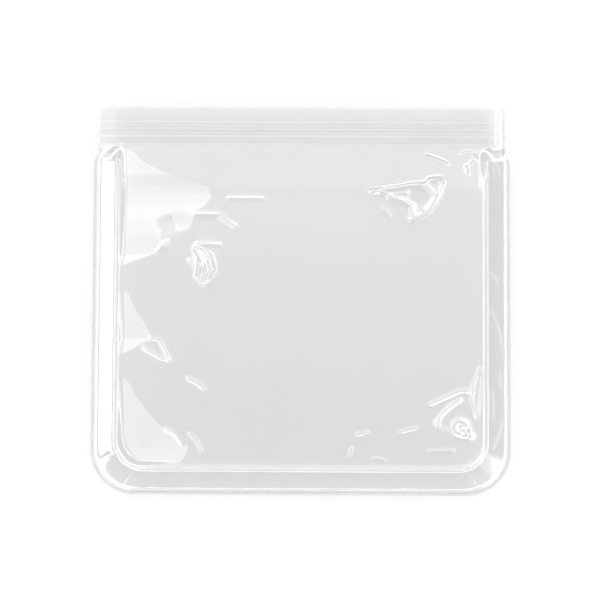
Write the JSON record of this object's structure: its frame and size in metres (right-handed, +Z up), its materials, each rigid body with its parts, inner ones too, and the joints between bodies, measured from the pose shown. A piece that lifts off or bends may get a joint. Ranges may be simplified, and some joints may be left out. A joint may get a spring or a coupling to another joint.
{
  "type": "reusable silicone bag",
  "caption": "Clear reusable food storage bag with formed tray-shaped sides, welded edges and a press-to-close zip mouth that opens.",
  "frame": {"origin": "centre of the footprint of the bag lying on its back, on the surface it lies on", "axes": "+X across the bag from its left side to its right, +Y from the welded bottom to the zipped mouth, +Z up through the thickness, out of the front panel"},
  "size_m": [0.21, 0.195, 0.0153],
  "materials": {
    "clear_film": "clear, glossy, formed film",
    "zip_plastic": "clear extruded plastic with a faint olive tint, satin gloss",
    "fused_film": "clear film fused by heat, slightly cloudy"
  },
  "bodies": {
    "body": {"back_panel": "clear_film", "front_panel": "clear_film", "edge_weld_bead": "fused_film", "left_end_seal": "fused_film", "right_end_seal": "fused_film", "lower_zip_rib_tape": "zip_plastic", "upper_zip_rib_tape": "zip_plastic"},
    "mouth": {"front_mouth_panel": "clear_film", "lower_zip_channel_tape": "zip_plastic", "upper_zip_channel_tape": "zip_plastic"}
  },
  "joints": [
    {"name": "mouth_open", "type": "hinge", "parent": "body", "child": "mouth", "pos_m": [0, 0.046, 0.0153], "axis": [1, 0, 0], "range_deg": [0, 40]}
  ]
}
